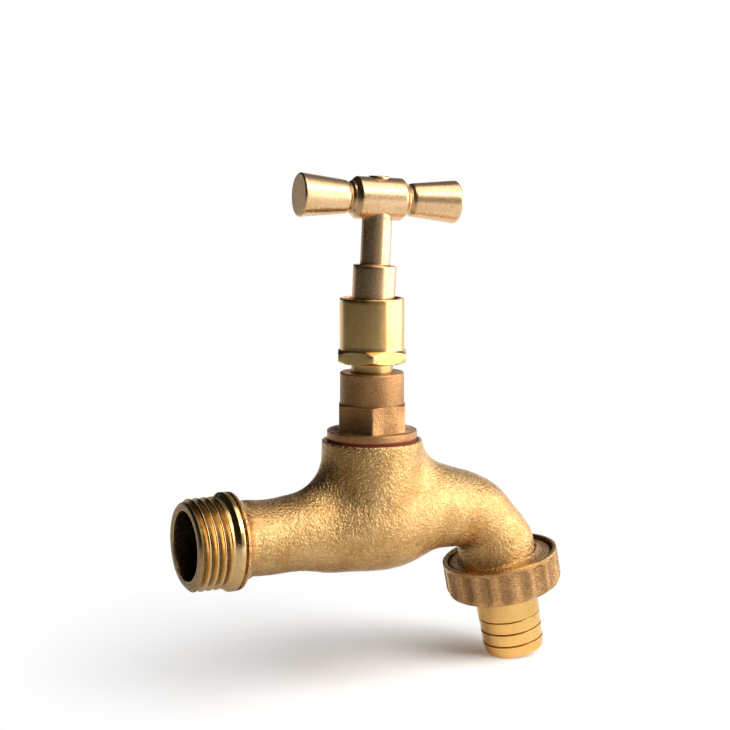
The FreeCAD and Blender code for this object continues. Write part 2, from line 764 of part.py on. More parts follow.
def make_key_stem():
    """Socket collar and shank of the loose key, with the spigot that holds the bar."""
    body = new_body("key_stem")
    seat = "(key_bar_level - key_shank_radius / 2)"
    top = "(key_bar_level + bar_barrel_radius + key_spigot_proud)"
    revolve(body, "turned_form", [
        ("0", "0"), ("key_collar_radius", "0"),
        ("key_collar_radius", "key_collar_length - key_edge"),
        ("key_collar_radius - key_edge", "key_collar_length"),
        ("key_shank_radius", "key_collar_length"), ("key_shank_radius", seat),
        ("key_spigot_radius", seat), ("key_spigot_radius", f"{top} - key_spigot_proud / 2"),
        ("key_spigot_radius / 2", top), ("0", top),
    ])
    pocket(body, "socket", lambda sketch: draw_square(sketch, "key_socket_width"), "key_socket_depth")
    on_key(body, "0")
    return body


def make_crossbar():
    """Turned T bar: barrel in the middle, grooved necks and flared grips."""
    body = new_body("key_crossbar")
    half = "(bar_barrel_half + bar_neck_length + bar_grip_length)"
    grip_root = "(bar_barrel_half + bar_neck_length)"
    side = [
        (half, "0"), (half, "bar_grip_radius - bar_edge"), (f"({half} - bar_edge)", "bar_grip_radius"),
        (grip_root, "bar_grip_root_radius"), (grip_root, "bar_neck_radius"),
        ("bar_barrel_half", "bar_neck_radius"), ("bar_barrel_half", "bar_barrel_radius - bar_chamfer"),
        ("(bar_barrel_half - bar_chamfer)", "bar_barrel_radius"),
    ]
    left = [(f"{half} - {reach}", radius) for reach, radius in side]
    right = [(f"{half} + {reach}", radius) for reach, radius in side]
    revolve(body, "turned_form", left + right[::-1], axis="H_Axis")
    shank = "(key_shank_radius + thread_clearance)"
    spigot = "(key_spigot_radius + thread_clearance)"
    below = "(bar_barrel_radius + cutting_spare)"
    pocket(body, "spigot_hole", lambda sketch: draw_circle(sketch, spigot, half),
           f"2 * {below}", f"0 - {below}")
    pocket(body, "shank_hole", lambda sketch: draw_circle(sketch, shank, half),
           f"{below} - key_shank_radius / 2", f"0 - {below}")
    on_key(body, "key_bar_level", aside=f"(0 - {half})")
    return body


def make_union_nut():
    """Hand nut of the hose union: fluted skirt under a plain rim, bevelled foot."""
    body = new_body("union_nut")
    flange = "(spout_thread_length + hose_washer_height + tail_flange_height + nut_rim_proud)"
    top = f"({flange} + nut_floor)"
    bore = "(spout_thread_radius + running_clearance)"
    revolve(body, "turned_form", [
        (bore, "0"), (NUT_RADIUS, "0"), (NUT_RADIUS, f"{top} - nut_foot_bevel"),
        (f"{NUT_RADIUS} - nut_foot_bevel / 3", f"{top} - nut_foot_bevel / 3"),
        (f"{NUT_RADIUS} - nut_foot_bevel", top),
        ("nut_hole_radius", top), ("nut_hole_radius", flange), (bore, flange),
    ])
    sketch = new_sketch(body, "flute_outline")
    axis = f"({NUT_RADIUS} + flute_radius - flute_depth)"
    side = f"({axis} - flute_radius)"
    foot = f"({top} + cutting_spare)"
    draw_outline(sketch, [
        (axis, foot), (side, foot), (side, "flute_top_gap + 2 * flute_run_out"),
        (f"{side} + flute_depth / 4", "flute_top_gap + flute_run_out"),
        (f"{side} + flute_depth", "flute_top_gap"), (axis, "flute_top_gap"),
    ])
    pole = sketch.addGeometry(Part.LineSegment(FreeCAD.Vector(1, 0, 0), FreeCAD.Vector(1, 1, 0)), True)
    fix_point(sketch, pole, 1, axis, "0")
    fix_point(sketch, pole, 2, axis, foot)
    flute = body.newObject("PartDesign::Groove", "flute")
    flute.Profile = sketch
    flute.ReferenceAxis = (sketch, ["Axis0"])
    flute.Angle = FULL_TURN
    doc.recompute()
    flutes = body.newObject("PartDesign::PolarPattern", "flutes")
    flutes.Originals = [flute]
    flutes.Axis = (sketch, ["V_Axis"])
    flutes.Angle = FULL_TURN
    flutes.setExpression("Occurrences", bind("nut_flutes"))
    body.Tip = flutes
    on_outlet(body, "0 - nut_rim_proud")
    return body


def make_hose_washer():
    """Rubber ring between the spout's end face and the tail's flange."""
    body = new_body("hose_washer")
    revolve(body, "ring", [
        ("outlet_bore_radius", "0"), (WASHER_RADIUS, "0"),
        (WASHER_RADIUS, "hose_washer_height"), ("outlet_bore_radius", "hose_washer_height"),
    ])
    on_outlet(body, "spout_thread_length")
    return body


def make_hose_tail():
    """Flanged tube with barbs that the hose is pushed on to."""
    body = new_body("hose_tail")
    root = "(tail_flange_height + nut_floor + tail_root_spare)"
    corners = [
        ("tail_bore_radius", "0"), (FLANGE_RADIUS, "0"),
        (FLANGE_RADIUS, "tail_flange_height"), ("tail_root_radius", "tail_flange_height"),
        ("tail_root_radius", root), ("tail_radius", root),
    ]
    groove = f"({root} + tail_land)"
    above = "tail_radius"
    for barb in range(1, DIMENSIONS["barb_count"] + 1):
        edge = f"(tail_radius - {barb} * barb_shrink)"
        corners += [
            (above, groove), (f"{above} - barb_groove_depth", f"{groove} + barb_groove_width / 2"),
            (edge, f"{groove} + barb_groove_width"),
        ]
        above = f"({edge} - barb_step)"
        groove = f"({groove} + barb_pitch)"
    corners += [
        (above, f"{groove} - tail_end_bevel"), (f"{above} - tail_end_bevel", groove),
        ("tail_bore_radius", groove),
    ]
    revolve(body, "turned_form", corners)
    on_outlet(body, "spout_thread_length + hose_washer_height")
    return body


def main():
    """Builds every piece, tests the whole document and writes one file per node."""
    nodes = [make_body(), make_gasket(), make_headwork()]
    nodes += make_packing()
    nodes += [make_shroud(), make_spindle()]
    nodes += make_valve()
    nodes += [make_key_stem(), make_crossbar(), make_union_nut(), make_hose_washer(), make_hose_tail()]
    doc.recompute()
    for item in doc.Objects:
        if "Invalid" in item.State or "Error" in item.State:
            raise RuntimeError(f"{item.Label} failed: {item.State}")
    os.makedirs("parts", exist_ok=True)
    for node in nodes:
        shape = node.Shape
        if shape.isNull() or not shape.isValid() or len(shape.Solids) != 1:
            raise RuntimeError(f"{node.Label} has no valid single solid")
        shape.exportStep(f"parts/{node.Label}.step")
        box = shape.BoundBox
        print(f"{node.Label}: {shape.Volume:.1f} mm3, x {box.XMin:.2f}..{box.XMax:.2f}, "
              f"y {box.YMin:.2f}..{box.YMax:.2f}, z {box.ZMin:.2f}..{box.ZMax:.2f}")


main()
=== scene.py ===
"""Looks of the lockable bibcock: cast body, turned and cast brass pieces, studio and camera.

Sizes are in millimetres and angles in degrees. Angles round a piece are in radians, and Blender
itself is given metres. In a turned piece, a plain name such as FLANGE or BARREL is a radius, and one
that ends in TOP, FOOT, FLOOR, END or LEVEL is a place along its axis.
"""
import math

import bmesh
import bpy
from mathutils import Matrix, Vector, noise

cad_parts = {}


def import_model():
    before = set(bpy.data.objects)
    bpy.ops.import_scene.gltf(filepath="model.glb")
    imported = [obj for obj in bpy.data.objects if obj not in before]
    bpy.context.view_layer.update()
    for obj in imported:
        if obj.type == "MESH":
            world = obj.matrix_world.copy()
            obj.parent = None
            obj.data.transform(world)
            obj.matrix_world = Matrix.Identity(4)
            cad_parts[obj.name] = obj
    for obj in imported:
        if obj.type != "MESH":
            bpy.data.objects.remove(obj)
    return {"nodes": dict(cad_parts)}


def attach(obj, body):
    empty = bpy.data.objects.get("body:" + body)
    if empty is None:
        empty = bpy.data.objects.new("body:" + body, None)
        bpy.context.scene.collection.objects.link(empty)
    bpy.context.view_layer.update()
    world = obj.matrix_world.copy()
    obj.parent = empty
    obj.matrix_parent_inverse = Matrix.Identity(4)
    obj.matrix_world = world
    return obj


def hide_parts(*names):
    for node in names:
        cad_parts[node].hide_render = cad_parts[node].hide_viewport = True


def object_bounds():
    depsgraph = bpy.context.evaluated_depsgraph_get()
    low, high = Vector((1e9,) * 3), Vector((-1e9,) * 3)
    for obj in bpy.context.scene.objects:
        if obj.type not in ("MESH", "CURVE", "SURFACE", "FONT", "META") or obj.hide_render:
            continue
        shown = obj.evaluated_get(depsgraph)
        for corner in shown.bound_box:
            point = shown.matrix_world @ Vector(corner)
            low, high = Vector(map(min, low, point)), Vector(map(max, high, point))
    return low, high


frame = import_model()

cad_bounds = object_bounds()

MM = 0.001
TURN = 2 * math.pi

# Sizes and places that the solids have too

THREAD_PITCH = 1.814
SPINDLE_X = 46.0
HEX_TURN = 3.2
INLET_END = -1.0
OUTLET_TILT = 11.1
OUTLET_FOOT = (81.636, -11.848)
KEY_LEAN = 2.9
KEY_TURN = -5.0
KEY_CROSSING = 47.25
KEY_RISE = -2.65


# Placements

def frame_at(across, up, side=0.0, turn=0.0, lean=0.0):
    """Placement in metres from millimetres and degrees: lean about Y, then turn about Z."""
    rotation = Matrix.Rotation(math.radians(turn), 4, "Z") @ Matrix.Rotation(math.radians(lean), 4, "Y")
    return Matrix.Translation(Vector((across, side, up)) * MM) @ rotation


def on_outlet(distance):
    """Frame on the outlet's axis, a distance below the spout's shoulder, with Z pointing down."""
    slope = math.radians(OUTLET_TILT)
    across = OUTLET_FOOT[0] + distance * math.sin(slope)
    up = OUTLET_FOOT[1] - distance * math.cos(slope)
    return frame_at(across, up, lean=180 - OUTLET_TILT)


def on_key(distance):
    """Frame on the leaning key's axis, a distance above the key's lower end."""
    lean = math.radians(KEY_LEAN)
    turn = math.radians(KEY_TURN)
    rise = distance + KEY_RISE
    outward = rise * math.sin(lean)
    return frame_at(SPINDLE_X + outward * math.cos(turn), KEY_CROSSING + rise * math.cos(lean),
                    outward * math.sin(turn), KEY_TURN, KEY_LEAN)


# Meshes

ROUNDING_STEPS = 4
# One corner's rounding takes up at most this share of a side.
ROUNDING_SHARE = 0.46
SMALLEST_TANGENT = 0.05
# Only the sides of a polygon that face an angle by more than this cosine count at that angle.
FACING = 0.3
MERGE_DISTANCE = 0.0001


def softened(corners):
    """Profile with its corners rounded: a corner is (radius, level) or (radius, level, rounding)."""
    points = []
    for index, corner in enumerate(corners):
        here = Vector(corner[:2])
        if len(corner) < 3:
            points.append(here)
            continue
        before = Vector(corners[index - 1][:2]) - here
        after = Vector(corners[(index + 1) % len(corners)][:2]) - here
        half = before.angle(after, math.pi) / 2
        reach = min(corner[2] / max(math.tan(half), SMALLEST_TANGENT),
                    ROUNDING_SHARE * before.length, ROUNDING_SHARE * after.length)
        start = here + before.normalized() * reach
        end = here + after.normalized() * reach
        for step in range(ROUNDING_STEPS + 1):
            share = step / ROUNDING_STEPS
            points.append(start * (1 - share) ** 2 + here * (2 * share * (1 - share)) + end * share ** 2)
    return points


def dense(points, longest):
    """Profile with extra points on its long stretches, so that painted shade can fade along them."""
    filled = []
    for point, following in zip(points, points[1:]):
        start = Vector(point[:2])
        end = Vector(following[:2])
        pieces = math.ceil((end - start).length / longest)
        filled.append(point)
        filled += [start.lerp(end, k / pieces) for k in range(1, pieces)]
    return filled + [points[-1]]


def with_painted_shade(points, *spots):
    """Profile whose points carry painted shade: a spot is (radius, level, how far it spreads, how dark it
    is).
    """
    painted_points = []
    for point in points:
        painted_shading = point[2] if len(point) > 2 else 0.0
        for radius, level, spread, dark in spots:
            away = math.hypot(point[0] - radius, point[1] - level)
            painted_shading = max(painted_shading, dark * max(0.0, 1 - away / spread))
        painted_points.append((point[0], point[1], painted_shading))
    return painted_points


def with_painted_bore_shade(points, widest, mouth, fade):
    """Profile with painted shade whose bore, the part narrower than widest, is painted black as shade from
    its mouth on.

    fade is the stretch that the change takes, and it is below 0 where the bore runs to lower levels.
    """
    painted_points = []
    for radius, level, painted_shading in points:
        inside = min(1.0, max(0.0, (level - mouth) / fade)) if radius < widest else 0.0
        painted_points.append((radius, level, max(painted_shading, inside)))
    return painted_points


def polygon_reach(angle, sides, width, sharpness):
    """Distance from the axis to a regular polygon with slightly rounded corners."""
    total = 0.0
    for side in range(sides):
        share = math.cos(angle - TURN * (side + 0.5) / sides)
        if share > FACING:
            total += share ** sharpness
    return width / 2 / total ** (1 / sharpness)


def finish_mesh(mesh_name, verts, faces, painted_shade):
    """Mesh with outward normals and smooth shading; the last argument is the painted shade, a value per
    vertex.
    """
    mesh = bpy.data.meshes.new(mesh_name)
    mesh.from_pydata(verts, [], faces)
    attribute = mesh.attributes.new("painted_shade", "FLOAT", "POINT")
    attribute.data.foreach_set("value", painted_shade)
    work = bmesh.new()
    work.from_mesh(mesh)
    bmesh.ops.remove_doubles(work, verts=work.verts, dist=MERGE_DISTANCE * MM)
    bmesh.ops.recalc_face_normals(work, faces=work.faces)
    for face in work.faces:
        face.smooth = True
    work.to_mesh(mesh)
    work.free()
    return mesh


def placed(name, mesh, placement):
    """Object of that mesh at a placement, with area-weighted normals."""
    piece = bpy.data.objects.new(name, mesh)
    bpy.context.scene.collection.objects.link(piece)
    piece.matrix_world = placement
    weighted = piece.modifiers.new("even_normals", "WEIGHTED_NORMAL")
    weighted.keep_sharp = True
    return piece


def swept(name, column, placement, count=240, closed=True):
    """Piece with one profile per angle; a profile's point is (radius, level) or (radius, level, painted
    shade).
    """
    verts = []
    painted_shade = []
    for k in range(count):
        angle = TURN * k / count
        for point in column(angle):
            verts.append((point[0] * math.cos(angle) * MM, point[0] * math.sin(angle) * MM, point[1] * MM))
            painted_shade.append(point[2] if len(point) > 2 else 0.0)
    height = len(verts) // count
    last = height if closed else height - 1
    faces = []
    for k in range(count):
        here = k * height
        following = (k + 1) % count * height
        for row in range(last):
            above = (row + 1) % height
            faces.append((here + row, following + row, following + above, here + above))
    return placed(name, finish_mesh(name, verts, faces, painted_shade), placement)


def turned(name, profile, placement, count=192, closed=True):
    """Piece with the same profile all round."""
    return swept(name, lambda angle: profile, placement, count, closed)


def settle(piece, body, slot, material, *nodes):
    """Hangs the piece on its body, gives it the material and hides the nodes it stands for; slot is not
    used.
    """
    piece.data.materials.append(material)
    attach(piece, body)
    if nodes:
        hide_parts(*nodes)


# Threads

THREAD_DEPTH = 1.1
STEPS_PER_PITCH = 18
# Shares of half a pitch that the crest's flat and the flank take up
CREST_SHARE = 0.1
FLANK_SHARE = 0.74
# How much of a flank is rounded and how much straight
ROUND_SHARE = 0.45
STRAIGHT_SHARE = 0.55
# Painted shade in the thread's roots and on its lead chamfer
ROOT_PAINTED_SHADE = 0.9
CHAMFER_PAINTED_SHADE = 0.5
CHAMFER_MARGIN = 0.15


def thread_points(angle, crest, length, chamfer, fade, hand):
    """Points along a threaded side, from its chamfered end to where the thread runs out.

    crest is the radius over the crests. hand is 1 for a right-hand thread, and -1 for one that is
    right-hand once its levels are turned over.
    """
    points = []
    steps = int(length / THREAD_PITCH * STEPS_PER_PITCH)
    for step in range(steps + 1):
        level = length * step / steps
        phase = (level / THREAD_PITCH - hand * angle / TURN) % 1.0
        tooth = abs(phase - 0.5) * 2
        flank = min(1.0, max(0.0, (tooth - CREST_SHARE) / FLANK_SHARE))
        wave = flank * flank * (3 - 2 * flank) * ROUND_SHARE + flank * STRAIGHT_SHARE
        left = max(0.0, min(1.0, (length - level) / fade))
        limit = crest - chamfer + level
        radius = min(crest - THREAD_DEPTH * wave * left, limit)
        painted_chamfer_shade = CHAMFER_PAINTED_SHADE if limit < crest - CHAMFER_MARGIN else 0.0
        points.append((radius, level, max(painted_chamfer_shade, ROOT_PAINTED_SHADE * left * wave ** 3)))
    return points


# Materials

class Nodes:
    """Small helper that adds nodes to one material or world."""

    def __init__(self, owner):
        owner.use_nodes = True
        self.owner = owner
        self.tree = owner.node_tree
        self.shader = self.tree.nodes.get("Principled BSDF")

    def put(self, target, value):
        """Links a socket or sets a plain value."""
        if isinstance(value, bpy.types.NodeSocket):
            self.tree.links.new(value, target)
        else:
            target.default_value = value

    def add(self, kind, settings=None, **inputs):
        """One node; inputs are named as on the node, with _ for a space."""
        made = self.tree.nodes.new(kind)
        for key, setting in (settings or {}).items():
            setattr(made, key, setting)
        for key, value in inputs.items():
            self.put(made.inputs[key.replace("_", " ")], value)
        return made

    def millimetres(self):
        """Object coordinates in millimetres."""
        coordinates = self.add("ShaderNodeTexCoord").outputs["Object"]
        return self.add("ShaderNodeVectorMath", {"operation": "SCALE"}, Vector=coordinates,
                        Scale=1 / MM).outputs["Vector"]

    def noise(self, vector, scale, detail=3.0, roughness=0.55, distortion=0.0):
        """Noise value between 0 and 1."""
        return self.add("ShaderNodeTexNoise", None, Vector=vector, Scale=scale, Detail=detail,
                        Roughness=roughness, Distortion=distortion).outputs["Fac"]

    def span(self, value, low, high, to_low=0.0, to_high=1.0):
        """Value mapped from one range to another, and held there."""
        return self.add("ShaderNodeMapRange", None, Value=value, From_Min=low, From_Max=high,
                        To_Min=to_low, To_Max=to_high).outputs["Result"]

    def math(self, operation, first, second):
        """One calculation with two values."""
        made = self.tree.nodes.new("ShaderNodeMath")
        made.operation = operation
        self.put(made.inputs[0], first)
        self.put(made.inputs[1], second)
        return made.outputs[0]

    def dot(self, vector, direction):
        """How far a vector points in a direction."""
        made = self.add("ShaderNodeVectorMath", {"operation": "DOT_PRODUCT"}, Vector=vector)
        made.inputs[1].default_value = direction
        return made.outputs["Value"]

    def length(self, vector):
        """Length of a vector."""
        return self.add("ShaderNodeVectorMath", {"operation": "LENGTH"}, Vector=vector).outputs["Value"]

    def mixed(self, share, first, second):
        """Colour between two colours."""
        made = self.tree.nodes.new("ShaderNodeMix")
        made.data_type = "RGBA"
        self.put(made.inputs[0], share)
        self.put(made.inputs[6], first)
        self.put(made.inputs[7], second)
        return made.outputs[2]

    def bump(self, height, depth, normal=None):
        """Bump of a height between 0 and 1 that stands for a depth in millimetres."""
        made = self.add("ShaderNodeBump", None, Height=height, Distance=depth * MM, Strength=1.0)
        if normal is not None:
            self.tree.links.new(normal, made.inputs["Normal"])
        return made.outputs["Normal"]

    def turned_lines(self, vector, scale):
        """Noise that changes with the radius and the level only, as a lathe tool leaves it."""
        flat = self.add("ShaderNodeVectorMath", {"operation": "MULTIPLY"}, Vector=vector)
        flat.inputs[1].default_value = (1.0, 1.0, 0.0)
        radius = self.length(flat.outputs["Vector"])
        level = self.add("ShaderNodeSeparateXYZ", None, Vector=vector).outputs["Z"]
        pair = self.add("ShaderNodeCombineXYZ", None, X=radius, Y=level).outputs["Vector"]
        return self.noise(pair, scale, detail=2.0, roughness=0.5)


def rgb(red, green, blue):
    """Opaque linear colour."""
    return (red, green, blue, 1.0)


# Nearly all of a noise lies in the wide range, and its lights and darks part in the narrow one.
WIDE = (0.3, 0.7)
NARROW = (0.38, 0.62)
# Noise scales are per millimetre.
PATCH_SCALE = 0.16
LINE_SCALE = 7.0
PATCH_SHARE = 0.6
MOTTLE_SHARE = 0.4
# Painted shade is the metal's dark colour times these.
PAINTED_SHADE_TINT = (0.06, 0.05, 0.045)
PAINTED_SHADE_ROUGHNESS = 0.3
DULL_SPREAD = 0.08


def metal(name, light, dark, rough, spread, grain, grain_depth, beads=0.0, lines=0.0):
    """Brass: patchy colour, casting grain, tool lines, and painted shade where the mesh says so.

    The roughness varies by spread to both sides. grain is per millimetre; grain_depth, beads and lines
    are depths in millimetres.
    """
    n = Nodes(bpy.data.materials.new(name))
    place = n.millimetres()
    patches = n.noise(place, PATCH_SCALE, detail=4.0, roughness=0.6, distortion=0.3)
    mottle = n.noise(place, grain * 0.8, detail=3.0, roughness=0.6)
    tone = n.math("ADD", n.math("MULTIPLY", patches, PATCH_SHARE),
                  n.math("MULTIPLY", mottle, MOTTLE_SHARE))
    colour = n.mixed(n.span(tone, *NARROW), dark, light)
    roughness = n.span(mottle, *WIDE, rough + spread, rough - spread)
    normal = None
    if lines:
        ridges = n.turned_lines(place, LINE_SCALE)
        normal = n.bump(ridges, lines)
        in_lines = n.span(ridges, 0.42, 0.3, 0.0, 0.35)
        colour = n.mixed(in_lines, colour, dark)
    if grain_depth:
        normal = n.bump(n.noise(place, grain, detail=4.0, roughness=0.66), grain_depth, normal)
    if beads:
        cells = n.add("ShaderNodeTexVoronoi", None, Vector=place, Scale=grain * 1.2).outputs["Distance"]
        normal = n.bump(n.span(cells, 0.05, 0.6, 1.0, 0.0), beads, normal)
        between_beads = n.span(cells, 0.45, 0.75, 0.0, 0.4)
        colour = n.mixed(between_beads, colour, dark)
    # The painted shade from the mesh darkens the colour and makes the metal rougher.
    painted_shading = n.add("ShaderNodeAttribute", {"attribute_name": "painted_shade"}).outputs["Fac"]
    painted_shading = n.math("MULTIPLY", painted_shading, n.span(mottle, 0.3, 0.6, 1.0, 0.8))
    colour = n.mixed(painted_shading, colour, rgb(*(part * tint for part, tint in zip(dark, PAINTED_SHADE_TINT))))
    roughness = n.math("ADD", roughness, n.math("MULTIPLY", painted_shading, PAINTED_SHADE_ROUGHNESS))
    n.put(n.shader.inputs["Base Color"], colour)
    n.put(n.shader.inputs["Roughness"], roughness)
    n.shader.inputs["Metallic"].default_value = 1.0
    if normal is not None:
        n.put(n.shader.inputs["Normal"], normal)
    return n.owner


def dull(name, light, dark, rough=0.7, grain=2.0, grain_depth=0.03):
    """Fibre, rubber or packing: speckled and matt."""
    n = Nodes(bpy.data.materials.new(name))
    speckle = n.noise(n.millimetres(), grain, detail=4.0, roughness=0.65)
    n.put(n.shader.inputs["Base Color"], n.mixed(n.span(speckle, *NARROW), dark, light))
    n.put(n.shader.inputs["Roughness"], n.span(speckle, *WIDE, rough - DULL_SPREAD, rough + DULL_SPREAD))
    n.put(n.shader.inputs["Normal"], n.bump(speckle, grain_depth))
    return n.owner


cast_brass = metal("cast_brass", light=rgb(0.86, 0.55, 0.23), dark=rgb(0.58, 0.32, 0.11),
                   rough=0.29, spread=0.09, grain=1.5, grain_depth=0.24, beads=0.10)
inlet_brass = metal("inlet_brass", light=rgb(0.95, 0.66, 0.31), dark=rgb(0.84, 0.53, 0.21),
                    rough=0.17, spread=0.05, grain=1.6, grain_depth=0.004, lines=0.005)
headwork_brass = metal("headwork_brass", light=rgb(0.64, 0.35, 0.15), dark=rgb(0.46, 0.23, 0.09),
                       rough=0.36, spread=0.08, grain=2.2, grain_depth=0.13, beads=0.03)
turned_brass = metal("turned_brass", light=rgb(0.84, 0.56, 0.23), dark=rgb(0.76, 0.48, 0.17),
                     rough=0.20, spread=0.04, grain=1.8, grain_depth=0.003, lines=0.004)
key_brass = metal("key_brass", light=rgb(0.86, 0.59, 0.33), dark=rgb(0.74, 0.46, 0.23),
                  rough=0.27, spread=0.05, grain=1.6, grain_depth=0.006, lines=0.003)
nut_brass = metal("nut_brass", light=rgb(0.70, 0.40, 0.17), dark=rgb(0.44, 0.23, 0.09),
                  rough=0.22, spread=0.08, grain=1.7, grain_depth=0.15, beads=0.06)
tail_brass = metal("tail_brass", light=rgb(0.86, 0.53, 0.18), dark=rgb(0.76, 0.45, 0.14),
                   rough=0.19, spread=0.03, grain=1.6, grain_depth=0.003, lines=0.003)
red_fibre = dull("red_fibre", light=rgb(0.34, 0.05, 0.025), dark=rgb(0.20, 0.03, 0.015))
black_rubber = dull("black_rubber", light=rgb(0.03, 0.03, 0.03), dark=rgb(0.012, 0.012, 0.012), rough=0.6)
packing = dull("graphite_packing", light=rgb(0.10, 0.10, 0.10), dark=rgb(0.03, 0.03, 0.032),
               rough=0.55, grain=3.0, grain_depth=0.06)


# Cast body

# Where the threads are cut off: the inlet's at this X, the spout's this far above the shoulder
INLET_CUT = 9.9
SPOUT_CUT = 0.04
CUT_TOLERANCE = 0.00001
VOXEL = 0.39
SMOOTHING = 0.5
SMOOTHING_STEPS = 7
# The skin's swells as (waves per millimetre, height), and how far all of it is sunk for them
SWELLS = ((0.16, 0.06), (0.45, 0.04), (1.1, 0.03))
SINK = 0.06
# Behind the collar, over this length up to this X, the skin is pushed out to a curve that widens
# from this radius by this flare towards the inlet. What lies inside the pipe's wall isn't moved.
FILL_END = 13.2
FILL_LENGTH = 2.6
FILL_RADIUS = 9.05
FILL_FLARE = 2.2
PIPE_WALL = 8.4
# Painted shade inside: how far the two bores and the neck's recess go, how wide they are and how dark
INLET_BORE_END = 24.5
INLET_BORE_REACH = 8.2
SPOUT_BORE_END = -6.0
SPOUT_BORE_REACH = 8.6
SPOUT_BORE_PAINTED_SHADE = 0.9
NECK_FACE = 20.1
NECK_REACH = 11.0
NECK_PAINTED_SHADE = 0.6

shoulder_frame = on_outlet(0.0)
into_outlet = shoulder_frame.inverted()


def casting_painted_shade(spot):
    """How dark the casting is painted at a point, as painted shade: black inside the waterway, brown in
    the neck's recess.
    """
    if spot.x < INLET_BORE_END and math.hypot(spot.y, spot.z) < INLET_BORE_REACH:
        return 1.0
    down = into_outlet @ (spot * MM) / MM
    if down.z > SPOUT_BORE_END and math.hypot(down.x, down.y) < SPOUT_BORE_REACH:
        return SPOUT_BORE_PAINTED_SHADE
    if spot.z > NECK_FACE and math.hypot(spot.x - SPINDLE_X, spot.y) < NECK_REACH:
        return NECK_PAINTED_SHADE
    return 0.0


def without_threads():
    """Mesh of the CAD body with its two threads cut off and the cuts closed."""
    slope = math.radians(OUTLET_TILT)
    down = Vector((math.sin(slope), 0.0, -math.cos(slope)))
    foot = Vector((OUTLET_FOOT[0], 0.0, OUTLET_FOOT[1])) * MM
    inlet_cut = (Vector((INLET_CUT * MM, 0.0, 0.0)), Vector((-1.0, 0.0, 0.0)))
    spout_cut = (foot - down * SPOUT_CUT * MM, down)
    work = bmesh.new()
    work.from_mesh(frame["nodes"]["body"].data)
    bmesh.ops.remove_doubles(work, verts=work.verts, dist=MERGE_DISTANCE * MM)
    for point, outward in (inlet_cut, spout_cut):
        everything = work.verts[:] + work.edges[:] + work.faces[:]
        cut = bmesh.ops.bisect_plane(work, geom=everything, dist=CUT_TOLERANCE * MM, plane_co=point,
                                     plane_no=outward, clear_outer=True)
        rim = [item for item in cut["geom_cut"] if isinstance(item, bmesh.types.BMEdge)]
        bmesh.ops.triangle_fill(work, use_beauty=True, edges=rim)
    mesh = bpy.data.meshes.new("casting_blank")
    work.to_mesh(mesh)
    work.free()
    return mesh


def sand_cast(mesh):
    """Skin of that mesh with every edge soft, as sand casting leaves it."""
    blank = bpy.data.objects.new("casting_blank", mesh)
    bpy.context.scene.collection.objects.link(blank)
    remesh = blank.modifiers.new("remesh", "REMESH")
    remesh.mode = "VOXEL"
    remesh.voxel_size = VOXEL * MM
    smooth = blank.modifiers.new("smooth", "SMOOTH")
    smooth.factor = SMOOTHING
    smooth.iterations = SMOOTHING_STEPS
    graph = bpy.context.evaluated_depsgraph_get()
    skin = bpy.data.meshes.new_from_object(blank.evaluated_get(graph))
    skin.name = "body_casting"
    bpy.data.objects.remove(blank)
    return skin


def casting():
    """Cast body: softened, slightly uneven, with the rear of its collar filled and painted shade inside.
    """
    skin = sand_cast(without_threads())
    outward = [vertex.normal.copy() for vertex in skin.vertices]
    for vertex, normal in zip(skin.vertices, outward):
        spot = vertex.co / MM
        swell = sum(noise.noise(spot * waves) * height for waves, height in SWELLS)
        vertex.co += normal * (swell - SINK) * MM
        radius = math.hypot(spot.y, spot.z)
        if spot.x < FILL_END and radius > PIPE_WALL:
            share = min(1.0, (FILL_END - spot.x) / FILL_LENGTH)
            wider = max(1.0, (FILL_RADIUS + FILL_FLARE * share ** 2) / radius)
            vertex.co.y *= wider
            vertex.co.z *= wider
    skin.polygons.foreach_set("use_smooth", [True] * len(skin.polygons))
    # Painted shade in the bores and the neck's recess
    painted_shade = skin.attributes.new("painted_shade", "FLOAT", "POINT")
    painted_shade.data.foreach_set("value", [casting_painted_shade(vertex.co / MM) for vertex in skin.vertices])
    piece = bpy.data.objects.new("body_casting", skin)
    bpy.context.scene.collection.objects.link(piece)
    return piece


settle(casting(), "tap", "cast_brass", cast_brass, "body")


# Inlet: levels run from its end face into the casting

INLET_CREST = 10.4775
INLET_THREAD = 7.95
INLET_BORE = 7.9
INLET_LIP = 9.3
LAND = 11.3
LAND_NECK = 10.8
LAND_END = 11.3

inlet_rear = softened([(10.1, 8.0), (10.9, 8.85, 0.3), (LAND, 9.3, 0.25), (LAND, 10.25, 0.12),
                       (LAND_NECK, 10.5), (LAND_NECK, LAND_END), (INLET_BORE, LAND_END),
                       (INLET_BORE, 0.0, 0.3), (INLET_LIP, 0.0, 0.1)])
# Painted shade where the flank meets the thread, where the land meets its neck and on the end face, and
# the bore painted black as shade
inlet_rear = with_painted_shade(dense(inlet_rear, 0.6), (10.3, 8.2, 0.35, 0.5), (11.1, 10.4, 0.25, 0.7),
                    (8.6, 0.0, 1.6, 0.75))
inlet_rear = with_painted_bore_shade(inlet_rear, INLET_BORE + 0.05, 0.0, 0.7)


def inlet_column(angle):
    """Thread, conical flank, land, neck, bore and end face of the inlet."""
    return thread_points(angle, INLET_CREST, INLET_THREAD, chamfer=1.0, fade=0.9, hand=1) + inlet_rear


inlet_frame = frame_at(INLET_END, 0.0, lean=90)
settle(swept("inlet_end", inlet_column, inlet_frame, 288), "tap", "cast_brass", inlet_brass)


# Spout: levels run down from its shoulder

SPOUT_CREST = 13.22
SPOUT_THREAD = 4.0
SPOUT_LENGTH = 4.2
SPOUT_BORE = 8.5
SPOUT_ROOT = 10.1
SPOUT_TOP = -0.3
SPOUT_CORNER_PAINTED_SHADE = 0.75
CAST_SHOULDER = 9.3
CAST_SHOULDER_FOOT = -0.02

